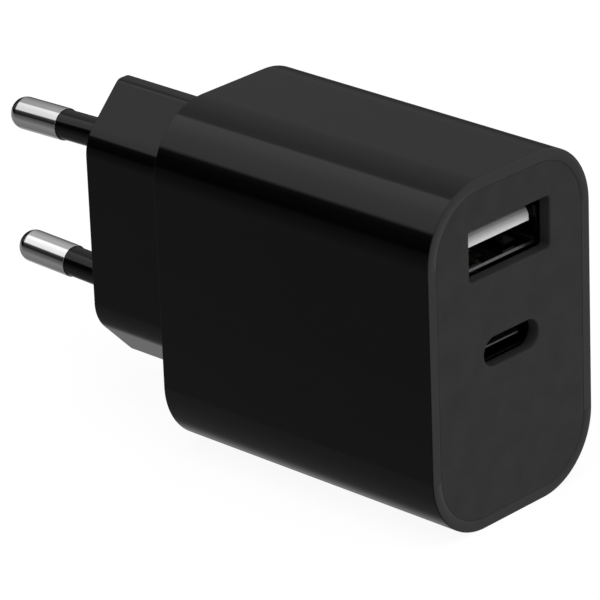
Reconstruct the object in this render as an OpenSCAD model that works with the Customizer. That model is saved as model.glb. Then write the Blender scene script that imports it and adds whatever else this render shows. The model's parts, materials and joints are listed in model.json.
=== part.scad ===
// USB wall charger: a flat mains plug with two round pins on the back,
// a USB-A port and a USB-C port on the front.
// The origin is the middle of the plug face. +Y points out along the pins,
// the ports face -Y, and +Z is up. All sizes are millimetres.

/* [Body] */
// Width of the body, side to side
body_w = 27.5; // [27:0.1:29]
// Height of the body
body_h = 42.8; // [42.5:0.1:45]
// Length of the body, from the step behind the plug to the port face
body_l = 42.2; // [42:0.1:44]
// Radius of the four long edges of the body
corner_r = 8.6; // [8:0.1:9]
// Thickness of the moulded walls
wall = 1.8; // [1.6:0.05:1.85]
// Thickness of the rim that surrounds the front panel
rim = 1.4; // [1.2:0.05:1.5]

/* [Plug] */
// Width of the plug
plug_w = 13.7; // [13.5:0.1:14]
// Height of the plug over its narrow top and bottom
plug_h = 35.3; // [35:0.1:36]
// Height of the plug's flat sides
plug_side_h = 23.1; // [23:0.1:24]
// Width of the narrow flat at the plug's top and bottom
plug_ridge_w = 1.8; // [1.6:0.1:2.2]
// Length of the plug, from its face to the body
plug_l = 18.4; // [18:0.1:19]
// Radius of the long edges beside the plug's narrow top and bottom
plug_edge_r = 1.2; // [0.5:0.1:1.2]
// Radius of the long edges beside the plug's flat sides
plug_side_r = 5; // [1:0.5:6]

/* [Pins] */
// Diameter of the bare end of a pin
pin_d = 4.05; // [4.05:0.05:4.15]
// Diameter of the insulating sleeve around a pin
sleeve_d = 3.74; // [3.6:0.02:3.74]
// Length of a pin outside the plug face
pin_l = 19; // [18.5:0.1:19.5]
// Length of the sleeve outside the plug face
sleeve_l = 10.35; // [10:0.05:11]
// Distance between the pins' axes at the plug face
pin_pitch = 18.6; // [18:0.1:19]
// Distance between the pins' axes at their tips
tip_pitch = 17.5; // [17:0.1:18]
// Radius of the rounding at a pin's tip
tip_r = 1.7; // [1.2:0.1:1.8]

/* [Front panel] */
// Thickness of the front panel
panel_t = 1.5; // [1.4:0.1:1.6]
// Gap between the front panel and the rim
seam = 0.08; // [0.05:0.01:0.12]
// Length of the tongues behind the front panel
tongue_l = 4; // [3.5:0.5:4]
// Height of the USB-A port's centre above the middle of the body
port_a_z = 12.5; // [12.3:0.1:12.6]
// Height of the USB-C port's centre above the middle of the body
port_c_z = -0.2; // [-1:0.1:0.5]
// Width of the USB-A window
window_a_w = 13.7; // [13.6:0.1:14]
// Height of the USB-A window
window_a_h = 6.3; // [6.2:0.1:6.5]
// Width of the USB-C window
window_c_w = 9.3; // [9.2:0.1:9.6]
// Height of the USB-C window
window_c_h = 3.6; // [3.5:0.1:3.8]

/* [Connectors] */
// Length of both USB connectors, from rim to port board
connector_l = 12; // [11.8:0.1:12.2]
// Width of the space inside the USB-A connector
cavity_a_w = 12.5; // [12.4:0.05:12.6]
// Height of the space inside the USB-A connector
cavity_a_h = 5.12; // [5.1:0.02:5.2]
// Width of the space inside the USB-C connector
cavity_c_w = 8.34; // [8.3:0.02:8.4]
// Height of the space inside the USB-C connector
cavity_c_h = 2.56; // [2.5:0.02:2.6]
// Thickness of the connectors' steel shells
shell_t = 0.3; // [0.25:0.05:0.3]
// Width of one USB-A contact
contact_w = 1; // [0.9:0.05:1]

/* [Electronics] */
// Thickness of both circuit boards
board_t = 1.2; // [1:0.1:1.4]
// Diameter of a mains-side capacitor
bulk_d = 8; // [7:0.5:8]
// Height of a mains-side capacitor
bulk_h = 16; // [12:0.5:16.5]
// Diameter of an output capacitor
output_d = 6.3; // [5:0.1:6.3]
// Height of an output capacitor
output_h = 9; // [7:0.5:11]

/* [Hidden] */
$fn = 64;
overlap = 1; // how far a cutting shape runs past what it cuts

// Body and plug
step_y = -plug_l;
front_y = step_y - body_l;
panel_y = front_y + panel_t; // back of the front panel
inside = [body_w - 2 * wall, body_h - 2 * wall];
inside_r = corner_r - wall;
plug_face_t = 2;

// Pins: positions along a pin, from the plug face
pin_tilt = atan((pin_pitch - tip_pitch) / 2 / pin_l);
core_d = 3;
collar_d = 5.2;
collar = [-3.6, -plug_face_t - 0.1];
seat_d = sleeve_d + 0.5; // shallow seat in the plug face around each sleeve
seat_depth = 0.3;
pin_tail = -7.5;

// Pieces behind the pins
strip_t = 0.4;
strip_w = 3;
strip_z = 9.5;
strip_x = -4; // the side of the strip that runs back along the plug
strip_bend_y = step_y - wall - 2.1;

// Main board: its face carries the tall parts, its back the flat ones
board_back_gap = 2.15;
board_back = -inside[0] / 2 + board_back_gap;
board_face = board_back + board_t;
board_y = [front_y + panel_t + tongue_l + 0.3, step_y - wall - 1.1];
board_z = 16.8;

// Port board: upright behind the two connectors
port_y = panel_y + connector_l;
port_back_y = port_y + board_t;
port_board_x = 8.5;
port_board_z = [-13.5, 16.5];
tab_z = [-9, 6.5];
tab_w = 3;
tab_l = board_t + 0.7;

// Places of the tall parts, as [y, z]
transformer_at = [port_back_y + 10.9, 0];
bulk_y = transformer_at[0] + 1.8;
bulk_z = 13;
output_y = port_back_y + 4.6;
output_z = 12.9;
choke_y = step_y - 6.9;
fuse_at = [choke_y + 1, 14.2];
thermistor_at = [choke_y + 0.8, -14.2];
safety_y = port_back_y + 2.3;

// Transformer: heights above the board, sizes across Y and Z
yoke_t = 2.6;
core_h = [0.6, 13.6];
core_size = [11, 17];
leg_d = 5.2;
outer_leg_t = 2.1;
flange_size = [14, 12.2];
flange_t = 0.8;
bobbin_h = [core_h[0] + yoke_t + 0.1, core_h[1] - yoke_t - 0.1];
bobbin_d = [5.4, 6.8];
winding_d = 11.9;
tape_t = 0.15;
rail_t = 1.3;
transformer_pin_z = [-5, -1.7, 1.7, 5];
transformer_pin_y = flange_size[0] / 2 - rail_t / 2;

// Leads that pass through the main board, as [y, z]
lead_d = 0.6;
lead_out = 1; // how far a lead stands out behind a board
lead_gap = 0.05;
cap_lead_pitch = 3.5;
output_lead_pitch = 2.5;
choke_lead = [1.4, 2.2];
fuse_lead_pitch = 2.6;
disc_lead_pitch = 2.5;
leads = concat(
    [for (s = [-1, 1], z = transformer_pin_z)
        [transformer_at[0] + s * transformer_pin_y, z]],
    [for (s = [-1, 1], t = [-0.5, 0.5]) [bulk_y + t * cap_lead_pitch, s * bulk_z]],
    [for (s = [-1, 1], t = [-0.5, 0.5]) [output_y + t * output_lead_pitch, s * output_z]],
    [for (s = [-1, 1], t = [-1, 1]) [choke_y + s * choke_lead[0], t * choke_lead[1]]],
    [for (s = [0, 1]) [fuse_at[0], fuse_at[1] - s * fuse_lead_pitch]],
    [for (t = [-1, 1]) [thermistor_at[0], thermistor_at[1] + t * disc_lead_pitch / 2]],
    [for (t = [-1, 1]) [safety_y, t * disc_lead_pitch / 2]]
);

// Toroidal choke, ring axis along Y
choke_ring = [4.4, 8.4, 3]; // inner diameter, outer diameter, thickness
choke_wire_t = 0.5;
choke_x = board_face + 5.2;
choke_angle = 130;

// USB-A connector
shell_a = [cavity_a_w, cavity_a_h] + 2 * shell_t * [1, 1];
base_a_t = 1.4;
window_a_z = port_a_z - 0.1;
shell_a_y = panel_y + 0.15;
lip = [13.7, 0.35]; // a lip's width and its length along Y
lip_bevel = 0.22;
tongue_a_w = 11.3;
tongue_a_z = [port_a_z - 0.1, port_a_z + 1.54];
tongue_a_y = panel_y + 0.6;
tongue_nose = [[0.85, 0], [0.42, 0.19], [0.16, 0.54], [0, 0.94]]; // front, from its top, [y, -z]
base_a_y = port_y - base_a_t;
contact_x = [-3.5, -1, 1, 3.5];
contact_t = 0.25;
slot_w = contact_w + 0.3;
slot_depth = 1.3;
slot_y = [tongue_a_y + 0.6, base_a_y - 0.5];
pivot = [slot_y[1] - 0.4, tongue_a_z[0] + 0.55]; // axis of a contact's flexing, [y, z]
root_r = 0.2;
tail_gap = 0.15;
tail_w = 0.6;
spring_w = 2;
spring_x = 2.9;
spring_slit = 0.3;
spring_y = [panel_y + 0.9, panel_y + 6.5];
spring_bump = 1.5; // how far a spring's bump lies behind its window's front end
spring_in = [0.82, 0.55]; // how far the lower and the upper springs reach in
leg_w = 2.4;
leg_out = 0.8;
tail_z = pivot[1];

// USB-C connector
shell_c = [cavity_c_w, cavity_c_h] + 2 * shell_t * [1, 1];
base_c_y = panel_y + 6.65;
tongue_c = [6.69, 0.7];
tongue_c_y = panel_y + 0.1;
tongue_c_corner = 0.45;
tongue_c_tip = 0.6;
ground_plate_t = 0.15;
pad_w = 0.26;
pad_t = 0.08;
pad_pitch = 0.5;
pad_count = 12;
leg_c_w = 0.9;
leg_c_x = 2.4;

// Surface-mounted parts on the main board's back, as [y, z]
bridge_at = [choke_y + 0.3, -8];
controller_at = [transformer_at[0] + 1.8, 0];
optocoupler_at = [transformer_at[0] - 3, -8.5];
rectifier_at = [port_y - 3.6, 6];
port_controller_at = [3, -7]; // on the port board's back, as [x, z]
chip = [1.6, 0.8]; // length and width of a chip resistor or capacitor
chip_capacitor_h = 0.8;
chip_resistor_h = 0.45;
chip_capacitors_at = [[-1.5, -5], [-1.5, -7], [-1.5, -9], [6.5, -5], [6.5, -9], [-4.5, 8]];
chip_resistors_at = [[3, -10.5], [3, -3.5], [-4.5, -6], [-4.5, -8], [6.5, -7], [-4.5, 5]];

// ---- Shapes that the parts share ----

// The limits [low, high] of a width w about a centre
function span(centre, w) = [centre - w / 2, centre + w / 2];

// A box between the limits [low, high] along each axis
module block(x, y, z) {
    translate([x[0], y[0], z[0]]) cube([x[1] - x[0], y[1] - y[0], z[1] - z[0]]);
}

// Runs an outline, drawn across X and Z, along Y between two limits
module along_y(y) {
    translate([0, y[1], 0]) rotate([90, 0, 0]) linear_extrude(y[1] - y[0]) children();
}

// Runs an outline, drawn across Y and Z, along X between two limits
module along_x(x) {
    translate([x[0], 0, 0]) rotate([90, 0, 90]) linear_extrude(x[1] - x[0]) children();
}

// Turns a profile, drawn as [radius, distance], around the Y axis
module turned_y() {
    rotate([-90, 0, 0]) rotate_extrude() children();
}

// A rod along X
module rod_x(d, x, y, z) {
    translate([x[0], y, z]) rotate([0, 90, 0]) cylinder(d = d, h = x[1] - x[0]);
}

// A rectangle with round corners, about the origin
module round_rect(size, r) {
    square([size[0] - 2 * r, size[1]], center = true);
    square([size[0], size[1] - 2 * r], center = true);
    for (u = [-1, 1], v = [-1, 1])
        translate([u * (size[0] / 2 - r), v * (size[1] / 2 - r)]) circle(r);
}

// A slot shape with fully round ends, about the origin
module stadium(size) {
    square([size[0] - size[1], size[1]], center = true);
    for (u = [-1, 1]) translate([u * (size[0] - size[1]) / 2, 0]) circle(d = size[1]);
}

// The eight corners of the plug's outline, moved inwards by t
function plug_corners(t) =
    let (
        slope = atan2(plug_w / 2 - plug_ridge_w / 2, plug_h / 2 - plug_side_h / 2),
        x = plug_w / 2 - t,
        side = plug_side_h / 2 - t * tan(slope / 2),
        ridge = max(plug_ridge_w / 2 - t * tan((90 - slope) / 2), 0.02),
        top = plug_h / 2 - t
    )
    [[x, side], [ridge, top], [-ridge, top], [-x, side],
     [-x, -side], [-ridge, -top], [ridge, -top], [x, -side]];

// The plug's outer outline, its corners rounded
module plug_outline() {
    points = plug_corners(0);
    count = len(points);
    radii = [for (i = [0:count - 1]) i % 4 == 0 || i % 4 == 3 ? plug_side_r : plug_edge_r];
    centres = [for (i = [0:count - 1]) plug_corners(radii[i])[i]];
    toward = function(a, b) (b - a) / norm(b - a);
    foot = function(i, j) // where the rounding at corner i meets the side to corner j
        points[i] + toward(points[i], points[j])
            * ((centres[i] - points[i]) * toward(points[i], points[j]));
    polygon([for (i = [0:count - 1], j = [-1, 1]) foot(i, (i + j + count) % count)]);
    for (i = [0:count - 1]) translate(centres[i]) circle(radii[i]);
}

// Places a piece of the upper (1) or lower (-1) pin, drawn along +Y
module on_pin(side) {
    translate([0, 0, side * pin_pitch / 2]) rotate([-side * pin_tilt, 0, 0]) children();
}

// Places a flat part on the main board's back, drawn from the board along +X
module on_board_back(at) {
    translate([board_back, at[0], at[1]]) mirror([1, 0, 0]) children();
}

// The outline of a connector's steel shell: a wall around a space
module shell_outline(outer, r) {
    difference() {
        round_rect(outer, r);
        round_rect(outer - 2 * shell_t * [1, 1], r - shell_t);
    }
}

// ---- Casing ----

// The four hooks on the panel's tongues, or their pockets in the wall when grown by gap
module hooks(gap) {
    hook_w = 6 + 2 * gap;
    root = inside[0] / 2 - 0.6;
    tip = inside[0] / 2 + 0.4 + gap;
    y = [panel_y + 1.2 - gap, panel_y + 2.8 + gap];
    for (side = [0, 1], z = [-7, 7])
        mirror([side, 0, 0]) translate([0, 0, z - hook_w / 2]) linear_extrude(hook_w)
            polygon([[root, y[0]], [tip, y[0]], [tip, y[0] + 0.6], [root, y[1]]]);
}

// Ribs that hold the main board's upper and lower edges
module board_ribs() {
    rib_t = 0.8;
    fit = 0.1;
    rib_y = [[board_y[0] + 0.8, port_y - 1], [choke_y - 2.4, board_y[1] - 0.2]];
    for (s = [-1, 1], y = rib_y, x = [board_back - fit - rib_t, board_face + fit])
        mirror([0, 0, s < 0 ? 1 : 0])
            block([x, x + rib_t], y, [board_z - 0.6, board_z + 2.1]);
}

module body_shell() {
    color("#202022") {
        difference() {
            union() {
                along_y([front_y, step_y]) round_rect([body_w, body_h], corner_r);
                along_y([step_y - overlap, 0]) plug_outline();
            }
            along_y([front_y - overlap, panel_y])
                round_rect([body_w - 2 * rim, body_h - 2 * rim], corner_r - rim);
            along_y([panel_y - overlap, step_y - wall]) round_rect(inside, inside_r);
            along_y([step_y - wall - overlap, -plug_face_t]) polygon(plug_corners(wall));
            for (s = [-1, 1])
                on_pin(s) turned_y() {
                    translate([0, -plug_face_t - overlap])
                        square([sleeve_d / 2, plug_face_t + 2 * overlap]);
                    translate([0, -seat_depth]) square([seat_d / 2, seat_depth + overlap]);
                }
            hooks(0.1);
        }
        board_ribs();
    }
}

module front_panel() {
    face = [body_w, body_h] - 2 * (rim + seam) * [1, 1];
    tongue_x = inside[0] / 2 - 0.1;
    tongue_t = 1;
    tongue_z = 10.5;
    color("#2b2b2d")
    difference() {
        union() {
            along_y([front_y, panel_y]) round_rect(face, corner_r - rim - seam);
            // A tongue behind each long side, which carries two hooks
            for (side = [0, 1])
                mirror([side, 0, 0])
                    block([tongue_x - tongue_t, tongue_x], [panel_y - overlap, panel_y + tongue_l],
                          [-tongue_z, tongue_z]);
            hooks(0);
        }
        along_y([front_y - overlap, panel_y + overlap]) translate([0, window_a_z])
            round_rect([window_a_w, window_a_h], 0.5);
        along_y([front_y - overlap, panel_y + overlap]) translate([0, port_c_z])
            stadium([window_c_w, window_c_h]);
    }
}

// ---- Pins and what carries their current ----

module pin(side) {
    on_pin(side) turned_y() {
        translate([0, pin_tail]) square([core_d / 2, sleeve_l - pin_tail]);
        translate([0, collar[0]]) square([collar_d / 2, collar[1] - collar[0]]);
        translate([0, sleeve_l]) square([pin_d / 2, pin_l - tip_r - sleeve_l]);
        translate([0, pin_l - tip_r]) square([pin_d / 2 - tip_r, tip_r]);
        intersection() {
            translate([pin_d / 2 - tip_r, pin_l - tip_r]) circle(tip_r);
            translate([0, pin_l - tip_r]) square([pin_d / 2, tip_r]);
        }
    }
}

module pin_upper() { color("silver") pin(1); }

module pin_lower() { color("silver") pin(-1); }

module sleeve(side) {
    on_pin(side) turned_y() translate([core_d / 2, -plug_face_t])
        square([(sleeve_d - core_d) / 2, sleeve_l + plug_face_t]);
}

module sleeve_upper() { color("#1b1b1c") sleeve(1); }

module sleeve_lower() { color("#1b1b1c") sleeve(-1); }

// Plate pressed into the plug behind the pins' collars
module pin_retainer() {
    y = [-6.2, collar[0] - 0.15];
    color("#e4e0d4")
    difference() {
        along_y(y) polygon(plug_corners(wall + 0.1));
        for (s = [-1, 1])
            on_pin(s) turned_y() translate([0, y[0] - overlap])
                square([core_d / 2 + 0.12, y[1] - y[0] + 2 * overlap]);
    }
}

// Bent strip that presses on a pin's tail and is soldered to the main board
module mains_contact(side) {
    y_tail = pin_tail - 0.06;
    z = span(side * strip_z, strip_w);
    block([strip_x - strip_t, 1.6], [y_tail - strip_t, y_tail], z);
    block([strip_x - strip_t, strip_x], [strip_bend_y - strip_t, y_tail], z);
    block([board_face, strip_x], [strip_bend_y - strip_t, strip_bend_y], z);
    block([board_face, board_face + strip_t], [strip_bend_y - 3.6, strip_bend_y], z);
}

module mains_contact_upper() { color("#c9a86a") mains_contact(1); }

module mains_contact_lower() { color("#c9a86a") mains_contact(-1); }

// ---- Circuit boards ----

module main_board() {
    color("#2c5e3a")
    difference() {
        along_x([board_back, board_face])
            translate([board_y[0], -board_z]) square([board_y[1] - board_y[0], 2 * board_z]);
        for (at = leads)
            rod_x(lead_d + 2 * lead_gap, [board_back - overlap, board_face + overlap], at[0], at[1]);
        for (z = tab_z)
            block([board_back - overlap, board_face + overlap], [port_y - 0.05, port_back_y + 0.05],
                  span(z, tab_w + 0.1));
    }
}

module port_board() {
    color("#2c5e3a")
    difference() {
        union() {
            block([board_face, port_board_x], [port_y, port_back_y], port_board_z);
            for (z = tab_z)
                block([board_face - tab_l, board_face + overlap], [port_y, port_back_y],
                      span(z, tab_w));
        }
        for (x = contact_x)
            along_y([port_y - overlap, port_back_y + overlap]) translate([x, tail_z]) circle(d = 0.9);
        for (s = [-1, 1]) {
            shell_leg_a(s, 0.1);
            for (t = [-1, 1]) shell_leg_c(s, t, 0.1);
        }
    }
}

// ---- Transformer ----

// A height above the main board, as an X position
function up(h) = board_face + h;

// A solid turned around an X axis that stands on the main board at [y, z]
module turned_up(at) {
    translate([board_face, at[0], at[1]]) rotate([0, 90, 0]) rotate_extrude() children();
}

// A profile for turned_up: a band between two diameters and two heights
module band(d, h) {
    translate([d[0] / 2, h[0]]) square([(d[1] - d[0]) / 2, h[1] - h[0]]);
}

module transformer_core() {
    y = span(transformer_at[0], core_size[0]);
    z = core_size[1] / 2;
    color("#3a3a3c") {
        for (h = [core_h[0], core_h[1] - yoke_t])
            block([up(h), up(h + yoke_t)], y, [-z, z]);
        for (side = [[-z, outer_leg_t - z], [z - outer_leg_t, z]])
            block([up(core_h[0]), up(core_h[1])], y, side);
        turned_up(transformer_at) band([0, leg_d], [core_h[0] + yoke_t, core_h[1] - yoke_t]);
    }
}

module transformer_bobbin() {
    y = span(transformer_at[0], flange_size[0]);
    z = span(0, flange_size[1]);
    color("#26282b")
    difference() {
        union() {
            for (h = [bobbin_h[0], bobbin_h[1] - flange_t])
                block([up(h), up(h + flange_t)], y, z);
            turned_up(transformer_at) band([0, bobbin_d[1]], bobbin_h);
            for (rail = [[y[0], y[0] + rail_t], [y[1] - rail_t, y[1]]])
                block([board_face, up(bobbin_h[0] + flange_t)], rail, z);
        }
        turned_up(transformer_at)
            band([0, bobbin_d[0]], [bobbin_h[0] - overlap, bobbin_h[1] + overlap]);
        transformer_pin_rods();
    }
}

module transformer_pin_rods() {
    for (s = [-1, 1], z = transformer_pin_z)
        rod_x(lead_d, [board_back - lead_out, up(2.5)],
              transformer_at[0] + s * transformer_pin_y, z);
}

module transformer_pins() { color("#b9bcc0") transformer_pin_rods(); }

module transformer_winding() {
    color("#b5652c")
    turned_up(transformer_at)
        band([bobbin_d[1], winding_d], [bobbin_h[0] + flange_t, bobbin_h[1] - flange_t]);
}

module transformer_tape() {
    color("#d8b21f")
    turned_up(transformer_at)
        band([winding_d, winding_d + 2 * tape_t], [bobbin_h[0] + flange_t, bobbin_h[1] - flange_t]);
}

// ---- Capacitors, choke, fuse and thermistor ----

// An upright can with a crimped groove near its foot and two leads
module can_capacitor(d, h, at, lead_pitch) {
    groove = 0.4;
    turned_up(at) {
        band([0, d], [0, h * 0.08]);
        band([0, d - 2 * groove], [0, h * 0.16]);
        band([0, d], [h * 0.13, h - 0.25]);
        band([0, d - 1.2], [h * 0.2, h]);
    }
    for (t = [-0.5, 0.5])
        rod_x(lead_d, [board_back - lead_out, up(overlap)], at[0] + t * lead_pitch, at[1]);
}

module bulk_capacitor_upper() {
    color("#2b3242") can_capacitor(bulk_d, bulk_h, [bulk_y, bulk_z], cap_lead_pitch);
}

module bulk_capacitor_lower() {
    color("#2b3242") can_capacitor(bulk_d, bulk_h, [bulk_y, -bulk_z], cap_lead_pitch);
}

module output_capacitor_upper() {
    color("#b8bcc2") can_capacitor(output_d, output_h, [output_y, output_z], output_lead_pitch);
}

module output_capacitor_lower() {
    color("#b8bcc2") can_capacitor(output_d, output_h, [output_y, -output_z], output_lead_pitch);
}

// A coated disc that stands on edge on two leads
module disc_part(d, t, at) {
    centre = up(d / 2 + 1.4);
    translate([centre, at[0], at[1]]) turned_y() {
        translate([0, -t / 2]) square([d / 2 - t / 4, t]);
        for (v = [-1, 1]) translate([d / 2 - t / 4, v * t / 4]) circle(t / 4);
        translate([0, -t / 4]) square([d / 2, t / 2]);
    }
    for (s = [-1, 1])
        rod_x(lead_d, [board_back - lead_out, centre], at[0], at[1] + s * disc_lead_pitch / 2);
}

module safety_capacitor() { color("#2f6fb3") disc_part(6, 2.6, [safety_y, 0]); }

module thermistor() { color("#2f6b45") disc_part(5.4, 2.4, thermistor_at); }

module choke_core() {
    color("#3d5a46")
    translate([choke_x, choke_y, 0]) turned_y()
        translate([choke_ring[0] / 2, -choke_ring[2] / 2])
            square([(choke_ring[1] - choke_ring[0]) / 2, choke_ring[2]]);
}

module choke_windings() {
    r = choke_ring / 2;
    color("#b5652c") {
        for (middle = [90, 270])
            translate([choke_x, choke_y, 0]) rotate([-90, 0, 0])
                rotate([0, 0, middle - choke_angle / 2]) rotate_extrude(angle = choke_angle)
                    difference() {
                        translate([r[0] - choke_wire_t, -r[2] - choke_wire_t])
                            square([r[1] - r[0] + 2 * choke_wire_t, 2 * (r[2] + choke_wire_t)]);
                        translate([r[0], -r[2]]) square([r[1] - r[0], 2 * r[2]]);
                    }
        for (s = [-1, 1], t = [-1, 1])
            rod_x(lead_d, [board_back - lead_out, choke_x - r[1] + 0.15],
                  choke_y + s * choke_lead[0], t * choke_lead[1]);
    }
}

module fuse() {
    body_d = 3.6;
    cap_d = 3.8;
    h = [0.8, 8.8];
    loop_h = 9.8;
    back_z = fuse_at[1] - fuse_lead_pitch;
    color("#c9c2ae") {
        turned_up(fuse_at) {
            band([0, body_d], h);
            for (end = [h[0], h[1] - 1.4]) band([0, cap_d], [end, end + 1.4]);
        }
        rod_x(lead_d, [board_back - lead_out, up(h[0] + 0.5)], fuse_at[0], fuse_at[1]);
        rod_x(lead_d, [up(h[1] - 0.5), up(loop_h)], fuse_at[0], fuse_at[1]);
        translate([up(loop_h), fuse_at[0], back_z]) cylinder(d = lead_d, h = fuse_lead_pitch);
        rod_x(lead_d, [board_back - lead_out, up(loop_h)], fuse_at[0], back_z);
        for (z = [fuse_at[1], back_z]) translate([up(loop_h), fuse_at[0], z]) sphere(d = lead_d);
    }
}

// ---- Flat parts on the boards ----

// A moulded package with bent leads along two sides, standing on X = 0
module package(size, h, lead_count, lead_pitch, lead_w) {
    y = size[0] / 2;
    z = size[1] / 2;
    block([0.15, h], [-y, y], [-z, z]);
    for (s = [0, 1], i = [0:lead_count - 1])
        mirror([0, s, 0]) translate([0, 0, (i - (lead_count - 1) / 2) * lead_pitch]) {
            block([0.55, 0.75], [y - 0.1, y + 0.45], [-lead_w / 2, lead_w / 2]);
            block([0, 0.75], [y + 0.3, y + 0.5], [-lead_w / 2, lead_w / 2]);
            block([0, 0.2], [y + 0.3, y + 0.95], [-lead_w / 2, lead_w / 2]);
        }
}

module bridge_rectifier() {
    color("#222224") on_board_back(bridge_at) package([3.8, 4.7], 1.45, 2, 2.5, 0.7);
}

module power_controller() {
    color("#222224") on_board_back(controller_at) package([3.9, 4.9], 1.5, 4, 1.27, 0.42);
}

module optocoupler() {
    color("#e8e6df") on_board_back(optocoupler_at) package([4.4, 3.6], 1.9, 2, 1.9, 0.4);
}

module output_rectifier() {
    color("#222224") on_board_back(rectifier_at) package([3.9, 4.9], 1.5, 4, 1.27, 0.42);
}

// Flat controller on the back of the port board, with a dimple at its first corner
module port_controller() {
    half = 2;
    h = 0.85;
    color("#222224")
    translate([port_controller_at[0], port_back_y, port_controller_at[1]])
        difference() {
            block([-half, half], [0, h], [-half, half]);
            translate([0.6 - half, h - 0.1, half - 0.6]) rotate([-90, 0, 0])
                cylinder(d = 0.6, h = overlap);
        }
}

// A chip part on the back of the port board, its ends a little proud
module chip_part(at, h) {
    cap_l = 0.35;
    proud = 0.03;
    l = chip[0] / 2;
    w = chip[1] / 2;
    translate([at[0], port_back_y, at[1]]) {
        block([-l, l], [0, h - proud], [proud - w, w - proud]);
        for (x = [-l, l - cap_l]) block([x, x + cap_l], [0, h], [-w, w]);
    }
}

module chip_capacitors() {
    color("#9a7a58") for (at = chip_capacitors_at) chip_part(at, chip_capacitor_h);
}

module chip_resistors() {
    color("#1f1f20") for (at = chip_resistors_at) chip_part(at, chip_resistor_h);
}

// A cone of solder around each lead behind the main board
module solder_joints() {
    color("#c4c7ca")
    for (at = leads)
        difference() {
            translate([board_back, at[0], at[1]]) rotate([0, -90, 0])
                cylinder(d1 = 1.5, d2 = 0.8, h = 0.6);
            rod_x(lead_d, [board_back - overlap, board_back + overlap], at[0], at[1]);
        }
}

// Insulating card that lines the wall around the mains parts
module insulation_wrap() {
    card_t = 0.25;
    outline = inside - 0.1 * [1, 1];
    color("#e9e3c8")
    difference() {
        along_y([port_back_y + 0.5, step_y - wall - 0.3]) round_rect(outline, inside_r - 0.05);
        along_y([port_back_y - overlap, step_y - wall + overlap])
            round_rect(outline - 2 * card_t * [1, 1], inside_r - 0.05 - card_t);
        block([-body_w, board_face + 3], [front_y, 0], [-body_h, body_h]);
    }
}

// ---- USB-A connector ----

// The outline of a strip of thickness t along a path
function strip_outline(path, t) =
    let (
        last = len(path) - 1,
        step = [for (i = [0:last - 1]) (path[i + 1] - path[i]) / norm(path[i + 1] - path[i])],
        normal = [for (v = step) [-v[1], v[0]]],
        side = [for (i = [0:last])
            let (a = normal[max(i - 1, 0)], sum = a + normal[min(i, last - 1)])
            sum * t / 2 / (sum * a)]
    )
    concat([for (i = [0:last]) path[i] + side[i]], [for (i = [last:-1:0]) path[i] - side[i]]);

// One of the two legs that pass through the port board, grown by gap
module shell_leg_a(side, gap) {
    x = shell_a[0] / 2;
    mirror([side < 0 ? 1 : 0, 0, 0])
        block([x - shell_t - gap, x + gap], [port_y - 0.1, port_back_y + leg_out],
              span(port_a_z, leg_w + 2 * gap));
}

// A spring bent inwards out of a window in the lower (-1) or upper (1) wall
module shell_spring_a(side, reach) {
    z = (cavity_a_h + shell_t) / 2;
    path = [[spring_y[1] + 0.2, z], [spring_y[1] - 0.3, z],
            [spring_y[0] + spring_bump, z - reach],
            [spring_y[0] + 0.35, z - 0.65 * reach]];
    for (s = [-1, 1])
        translate([0, 0, port_a_z]) mirror([0, 0, side < 0 ? 1 : 0])
            along_x(span(s * spring_x, spring_w)) polygon(strip_outline(path, shell_t));
}

// The wider lip along the shell's lower (-1) or upper (1) mouth edge, and its bevel
module shell_lip_a(side) {
    z = [cavity_a_h / 2, shell_a[1] / 2];
    translate([0, 0, port_a_z]) mirror([0, 0, side < 0 ? 1 : 0])
        block(span(0, lip[0]), [shell_a_y, shell_a_y + lip[1]], z);
}

module shell_bevel_a(side) {
    leg = lip_bevel + 2 * overlap;
    translate([0, 0, port_a_z]) mirror([0, 0, side < 0 ? 1 : 0])
        along_x(span(0, lip[0] + 1))
            translate([shell_a_y - overlap, cavity_a_h / 2 - overlap])
                polygon([[0, 0], [leg, 0], [0, leg]]);
}

module usb_a_shell() {
    window_w = spring_w + 2 * spring_slit;
    color("#b6b8bb") {
        difference() {
            union() {
                along_y([shell_a_y, port_y]) translate([0, port_a_z]) shell_outline(shell_a, 0.6);
                for (s = [-1, 1]) shell_lip_a(s);
            }
            for (s = [-1, 1]) {
                block(span(s * spring_x, window_w), spring_y, span(port_a_z, 2 * shell_a[1]));
                shell_bevel_a(s);
            }
        }
        shell_spring_a(-1, spring_in[0]);
        shell_spring_a(1, spring_in[1]);
        for (s = [-1, 1]) shell_leg_a(s, 0);
    }
}

module usb_a_insulator() {
    top = tongue_a_z[1];
    base = [cavity_a_w - 0.1, cavity_a_h - 0.1];
    color("#e9e9e6")
    difference() {
        union() {
            along_y([base_a_y, port_y]) translate([0, port_a_z]) round_rect(base, 0.25);
            along_x(span(0, tongue_a_w))
                polygon([[base_a_y + overlap, tongue_a_z[0]], [base_a_y + overlap, top],
                         for (p = tongue_nose) [tongue_a_y + p[0], top - p[1]],
                         [tongue_a_y, tongue_a_z[0]]]);
        }
        for (x = contact_x) {
            block(span(x, slot_w), slot_y,
                  [tongue_a_z[0] - overlap, tongue_a_z[0] + slot_depth]);
            block(span(x, contact_w), [slot_y[1] - 0.1, port_y + overlap],
                  span(tail_z, contact_t));
        }
    }
}

// A contact's blade: it flexes about pivot, and its bulge presses on the plug
module contact_blade(i) {
    from_pivot = [[0, 0], [-2, -0.35], [-5.4, -1.32], [-5.9, -1.4], [-6.4, -1.3], [-7.9, -0.6]];
    path = [for (p = from_pivot) pivot + p];
    color("#d0aa5a")
    along_x(span(contact_x[i], contact_w)) {
        polygon(strip_outline(path, contact_t));
        translate(pivot) circle(root_r);
    }
}

module usb_a_contact_1() { contact_blade(0); }

module usb_a_contact_2() { contact_blade(1); }

module usb_a_contact_3() { contact_blade(2); }

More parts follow.
